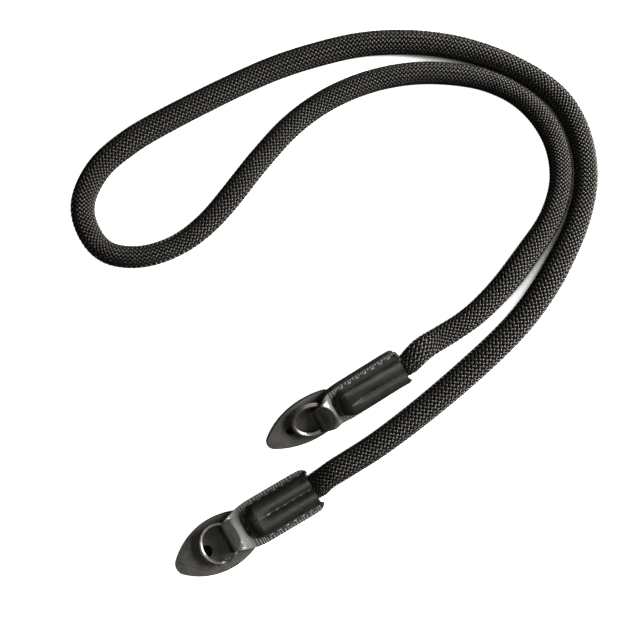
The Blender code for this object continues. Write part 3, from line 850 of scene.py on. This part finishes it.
def add_leather_end(end):
    grid = strip_grid(RINGS[end.name])
    rows, across = grid.shape[:2]
    placed = FRAMES[end.name]
    points = [placed @ Vector(point) for point in grid.reshape(-1, 3)]
    faces = []
    for r in range(rows - 1):
        for c in range(across - 1):
            k = r * across + c
            faces.append((k, k + across, k + across + 1, k + 1))
    piece = make_piece("leather_cover_" + end.name, points, faces, hide)
    for name, chart in leather_charts(grid, RINGS[end.name]).items():
        stored = piece.data.attributes.new(name, "FLOAT", "POINT")
        stored.data.foreach_set("value", chart.astype(np.float32).ravel())
    wall = piece.modifiers.new("wall", "SOLIDIFY")
    wall.thickness = LEATHER
    wall.offset = -1.0
    rim = piece.modifiers.new("rounded cut edges", "BEVEL")
    rim.width = 0.22 * MM
    rim.segments = 2
    rim.limit_method = "ANGLE"
    rim.angle_limit = math.radians(55.0)
    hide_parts("leather_end_" + end.name)
    return piece


covers = {end.name: add_leather_end(end) for end in ENDS}
print("two leather ends of", len(covers["a"].data.polygons), "faces each")

# %% [markdown]
# ## The stitching
#
# A stitch in waxed thread runs round the foot of the hump, and another
# down the seam. Each stitch is a short fat thread that comes out of one hole,
# lies on the leather and goes into the next. It is a bent tube, pressed into the
# groove at both ends, and a waxy gloss gives it the small lights that pick it
# out from the leather.

# %% Where the stitches run
THREAD = 0.30 * MM               # radius of the thread
THREAD_SIDES = 8
U_STITCH, U_LENGTH = 3.6 * MM, 2.4 * MM  # from stitch to stitch, and length of one
U_INSET = -0.15 * MM             # the line of thread lies this far outside the U
SEAM_STITCH, SEAM_LENGTH = 3.7 * MM, 2.0 * MM


def u_line(inset, step=0.1 * MM):
    """The U of stitches, from the mouth along one side, round the front and back."""
    straight = STITCH_FRONT - STITCH_CORNER
    half, radius = STITCH_HALF - inset, STITCH_CORNER - inset
    side = np.arange(0.8 * MM, straight, step)
    corner = np.radians(np.linspace(90.0, 0.0, 60))
    left = [(u, half) for u in side]
    left += [(straight + radius * math.cos(t), half - radius + radius * math.sin(t)) for t in corner]
    return np.array(left + [(u, -v) for u, v in reversed(left)])


def spaced_along(line, pitch, length):
    """Stretches of a line, one for each stitch."""
    along = along_of(line)
    starts = np.arange(0.3 * MM, along[-1] - length, pitch)
    for start in starts:
        at = start + length * np.linspace(0.0, 1.0, 9)
        yield np.stack([np.interp(at, along, line[:, k]) for k in range(2)], axis=1)


def stitch_tube(middle, up):
    """Rings of points round a stitch whose ends taper and dive into the leather."""
    ahead = unit(np.gradient(middle, axis=0))
    left = unit(np.cross(up, ahead))
    t = np.linspace(-1.0, 1.0, len(middle))
    radius = THREAD * np.sqrt(np.maximum(1.0 - np.abs(t) ** 4, 0.02))
    angle = np.radians(np.arange(THREAD_SIDES) * 360.0 / THREAD_SIDES)
    ring = left[:, None] * np.cos(angle)[None, :, None] + up[:, None] * np.sin(angle)[None, :, None]
    return middle[:, None] + ring * radius[:, None, None]


def add_stitching(end, material):
    """All stitches of one leather end, joined in one mesh."""
    points, faces = [], []
    seam = np.stack([np.arange(0.6 * MM, SEAM_END + 0.8 * MM, 0.1 * MM)] * 2, axis=1)
    seam[:, 1] = 0.0
    runs = [*spaced_along(u_line(U_INSET), U_STITCH, U_LENGTH), *spaced_along(seam, SEAM_STITCH, SEAM_LENGTH)]
    for run in runs:
        t = np.linspace(-1.0, 1.0, len(run))
        height = upper_face(run[:, 0], run[:, 1], RINGS[end.name]) + THREAD * (0.55 - 1.5 * t ** 4)
        middle = np.stack([run[:, 0], run[:, 1], height], axis=1)
        rings = stitch_tube(middle, np.tile((0.0, 0.0, 1.0), (len(run), 1)))
        faces += tube_faces(len(run), THREAD_SIDES, first=len(points))
        points += [FRAMES[end.name] @ Vector(p) for p in rings.reshape(-1, 3)]
    piece = make_piece("stitching_" + end.name, points, faces, material)
    print(piece.name, "has", len(runs), "stitches")
    return piece


# %% Waxed thread material, and the stitches themselves
def thread_finish():
    finish = Finish("waxed thread")
    place = finish.node("TexCoord").outputs["Object"]
    twist = finish.node("TexNoise", {"Vector": place, "Scale": 2400.0, "Detail": 3.0}).outputs["Fac"]
    finish.set(
        Base_Color=finish.ramp(twist, (0.3, (0.045, 0.043, 0.040)), (0.7, (0.150, 0.145, 0.135))),
        Roughness=finish.ramp(twist, (0.3, grey(0.22)), (0.7, grey(0.40))),
        Specular_IOR_Level=0.6,
        Normal=finish.bump(twist, 0.00006),
    )
    return finish.material


thread = thread_finish()
for end in ENDS:
    add_stitching(end, thread)

# %% [markdown]
# ## The leaf protectors
#
# The leaf is cut from soft grey-black leather, a little thicker than the strip
# and duller, with a round hole near its tip. Its cut edge is rounded over, which
# the mesh makes from a few outlines, each a little further in and a little
# higher. The upper face is filled with triangles between the outline and the
# hole. The hole stops short of the underside, which is whole, to give painted
# shade a floor.

# %% Leaf material and shape
EDGE_STEPS = (                   # millimetres in from the edge, share of the thickness
    (0.30, 0.0), (0.12, 0.05), (0.03, 0.16), (0.0, 0.34),
    (0.0, 0.72), (0.05, 0.88), (0.16, 0.97), (0.36, 1.0),
)
HOLE_SIDES = 48
suede = leather_finish(
    "grey leather",
    dark=(0.014, 0.013, 0.011),
    light=(0.045, 0.042, 0.036),
    palest=(0.045, 0.042, 0.036),
    grain_size=0.55 * MM,
    grain_deep=0.14 * MM,
    rough=0.60,
)


def add_leaf(end):
    """Bands of points round the edge and round the hole, closed by an underside, a face and the hole's floor.
    """
    form = bmesh.new()
    painted_shade_and_dark_edge = form.verts.layers.float.new("painted_shade_and_dark_edge")
    hole = (-end.hole_from_tip * MM, 0.0)
    bands = [[], []]
    for inset, height in EDGE_STEPS:
        inset, height = inset * MM, height * LEAF_THICK
        bands[0].append([form.verts.new((x, y, height)) for x, y in leaf_outline(inset)])
        if height >= HOLE_FLOOR:
            ring = arc(hole, HOLE_RADIUS + 0.6 * inset, 0.0, 360.0, HOLE_SIDES)[:-1]
            height = height if bands[1] else HOLE_FLOOR
            bands[1].append([form.verts.new((x, y, height)) for x, y in ring])
    for band in bands:
        for low, high in zip(band, band[1:]):
            for i in range(len(low)):
                j = (i + 1) % len(low)
                form.faces.new((low[i], low[j], high[j], high[i]))
    rim, ring = bands
    for loops in ((rim[0],), (ring[0],), (rim[-1], ring[-1])):
        edges = []
        for loop in loops:
            edges += [form.edges.get((loop[i], loop[(i + 1) % len(loop)])) for i in range(len(loop))]
        bmesh.ops.triangle_fill(form, use_beauty=True, edges=edges)
    bmesh.ops.recalc_face_normals(form, faces=form.faces)
    # the leaf's rounded cut edge is made darker, with the same chart as the strip's painted shade
    for loop in bands[0][:-1]:
        for vert in loop:
            vert[painted_shade_and_dark_edge] = 0.8
    form.transform(FRAMES[end.name] @ leaf_place(end))
    mesh = bpy.data.meshes.new("leaf_" + end.name)
    form.to_mesh(mesh)
    form.free()
    for face in mesh.polygons:
        face.use_smooth = True
    mesh.materials.append(suede)
    leaf = bpy.data.objects.new("leaf_protector_" + end.name, mesh)
    bpy.context.scene.collection.objects.link(leaf)
    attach(leaf, "root")
    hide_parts("ring_protector_" + end.name)
    return leaf


leaves = [add_leaf(end) for end in ENDS]
print("two leaves of", len(leaves[0].data.polygons), "faces each")

# %% [markdown]
# ## Painted shade in the hole
#
# At the bottom of the leaf's hole lies a disc of painted shade, dished a little
# at its rim, nearly black, with a matt nap that swallows the light, so the hole
# looks deep although the leaf is barely more than a millimetre thick.

# %% Painted shade in the hole
def hole_shade_finish():
    finish = Finish("painted hole shade")
    place = finish.node("TexCoord").outputs["Object"]
    nap = finish.node("TexNoise", {"Vector": place, "Scale": 2500.0, "Detail": 3.0}).outputs["Fac"]
    finish.set(
        Base_Color=finish.ramp(nap, (0.3, (0.0012, 0.0011, 0.0010)), (0.7, (0.0030, 0.0028, 0.0026))),
        Roughness=0.95,
        Specular_IOR_Level=0.1,
        Normal=finish.bump(nap, 0.00008),
    )
    return finish.material


def add_hole_shade(end, material):
    """A disc of painted shade at the bottom of the leaf's hole, dished at its rim."""
    rings, sides, clear, dish = 6, HOLE_SIDES, 0.02 * MM, 0.10 * MM
    points = [(0.0, 0.0, HOLE_FLOOR + clear)]
    for k in range(1, rings + 1):
        reach, height = (HOLE_RADIUS - clear) * k / rings, HOLE_FLOOR + clear + dish * (k / rings) ** 3
        points += [(x, y, height) for x, y in arc((0.0, 0.0), reach, 0.0, 360.0, sides)[:-1]]
    faces = [(0, 1 + j, 1 + (j + 1) % sides) for j in range(sides)]
    for k in range(rings - 1):
        near, far = 1 + k * sides, 1 + (k + 1) * sides
        for j in range(sides):
            j_next = (j + 1) % sides
            faces.append((near + j, far + j, far + j_next, near + j_next))
    placed = FRAMES[end.name] @ leaf_place(end) @ Matrix.Translation((-end.hole_from_tip * MM, 0.0, 0.0))
    placed_points = [placed @ Vector(point) for point in points]
    piece = make_piece("hole_painted_shade_" + end.name, placed_points, faces, material)
    return piece


# a nearly black material that paints shade into the hole
hole_shade = hole_shade_finish()
for end in ENDS:
    hole_disc = add_hole_shade(end, hole_shade)
    print(hole_disc.name, "has", len(hole_disc.data.polygons), "faces")

# %% [markdown]
# ## The split rings
#
# A split ring is flat spring wire wound in almost two turns that lie face to
# face. Over a short stretch one turn climbs onto the other, near both cut ends.
# The wire's edges are rounded, and the nickel plate is satin, with hair-fine
# scratches from rubbing.

# %% Ring material and shape
WIRE_WIDE, WIRE_HIGH = 1.2 * MM, 0.85 * MM
WIRE_ROUND = 0.3 * WIRE_HIGH
TURN_RISE = 1.0 * MM             # from the lower turn to the upper one
WIRE_START, WIRE_STOP = 30.0, 690.0  # degrees of wire, a little under two turns
CLIMB = (335.0, 385.0)           # the stretch where it changes level
RING_REAR_LIFT = 3.45 * MM       # underside of the wire where the fold holds it


def steel_finish():
    finish = Finish("nickelled steel")
    place = finish.node("TexCoord").outputs["Object"]
    haze = finish.node("TexNoise", {"Vector": place, "Scale": 900.0, "Detail": 4.0}).outputs["Fac"]
    scratched = {"Vector": place, "Scale": 6000.0, "Detail": 2.0, "Distortion": 2.0}
    hair = finish.node("TexNoise", scratched).outputs["Fac"]
    finish.set(
        Base_Color=finish.ramp(haze, (0.2, (0.60, 0.58, 0.55)), (0.8, (0.80, 0.78, 0.75))),
        Metallic=1.0,
        Roughness=finish.ramp(haze, (0.3, grey(0.30)), (0.75, grey(0.40))),
        Normal=finish.bump(hair, 0.000004, 0.4),
    )
    return finish.material


def wire_profile():
    """A flat oblong with rounded edges."""
    points = []
    for corner_x, corner_z, turn in ((1, -1, -90), (1, 1, 0), (-1, 1, 90), (-1, -1, 180)):
        for extra in np.radians(np.linspace(0.0, 90.0, 5)):
            angle = math.radians(turn) + extra
            x = corner_x * (0.5 * WIRE_WIDE - WIRE_ROUND) + WIRE_ROUND * math.cos(angle)
            z = corner_z * (0.5 * WIRE_HIGH - WIRE_ROUND) + WIRE_ROUND * math.sin(angle)
            points.append((x, z))
    return points


def add_ring(end, material):
    ring = RINGS[end.name]
    rear = RING_RADIUS + 0.5 * WIRE_WIDE
    place = (
        FRAMES[end.name]
        @ Matrix.Translation((ring.forward * MM - rear, ring.side * MM, RING_REAR_LIFT))
        @ Matrix.Rotation(math.radians(ring.tilt), 4, "Y")
        @ Matrix.Translation((rear, 0.0, 0.0))
    )
    profile = wire_profile()
    points, faces = [], []
    sweeps = np.arange(WIRE_START, WIRE_STOP + 0.1, 3.0)
    for sweep in sweeps:
        angle = math.radians(ring.seam + sweep)
        rise = 0.5 * WIRE_HIGH + TURN_RISE * float(smoothstep(sweep, *CLIMB))
        for x, z in profile:
            reach = RING_RADIUS + x
            points.append(place @ Vector((reach * math.cos(angle), reach * math.sin(angle), rise + z)))
    count = len(profile)
    for i in range(len(sweeps) - 1):
        for j in range(count):
            k = (j + 1) % count
            faces.append((i * count + j, i * count + k, (i + 1) * count + k, (i + 1) * count + j))
    faces.append(tuple(reversed(range(count))))
    faces.append(tuple(len(points) - count + j for j in range(count)))
    piece = make_piece("ring_wire_" + end.name, points, faces, material)
    piece.data.set_sharp_from_angle(angle=math.radians(50.0))
    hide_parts("split_ring_" + end.name)
    return piece


steel = steel_finish()
rings = [add_ring(end, steel) for end in ENDS]
print("two rings of", len(rings[0].data.polygons), "faces each")


# %% [markdown]
# ## The table's finish
#
# The table is matt and nearly white, with a trace of unevenness. It glows
# evenly, except in narrow gaps, such as the one between the two runs of rope.
# There an ambient occlusion node finds little open sky and turns the glow down,
# which paints shade into the gaps.

# %% Table material
def table_finish():
    finish = Finish("pale table")
    place = finish.node("TexCoord").outputs["Object"]
    cloud = finish.node("TexNoise", {"Vector": place, "Scale": 3.0, "Detail": 2.0}).outputs["Fac"]
    open_sky = finish.node("AmbientOcclusion", {"Distance": FLOOR_SHADE}, samples=32).outputs["AO"]
    # painted shade: the glow drops where the table is hemmed in
    glow = finish.ramp(open_sky, (0.24, grey(0.0)), (0.29, grey(1.0)))
    finish.set(
        Base_Color=finish.ramp(cloud, (0.3, grey(0.86)), (0.7, grey(0.90))),
        Roughness=0.9,
        Specular_IOR_Level=0.1,
        Emission_Color=(1.0, 1.0, 1.0, 1.0),
        Emission_Strength=finish.maths("MULTIPLY", glow, FLOOR_GLOW),
    )
    return finish.material


table.data.materials.append(table_finish())
print("table finished")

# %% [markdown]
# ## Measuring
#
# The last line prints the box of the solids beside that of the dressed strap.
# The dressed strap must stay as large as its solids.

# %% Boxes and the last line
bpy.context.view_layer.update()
for label, (low, high) in (("solids", cad_box), ("dressed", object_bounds())):
    print(label, "box:", " x ".join("%.1f" % ((b - a) / MM) for a, b in zip(low, high)), "mm")
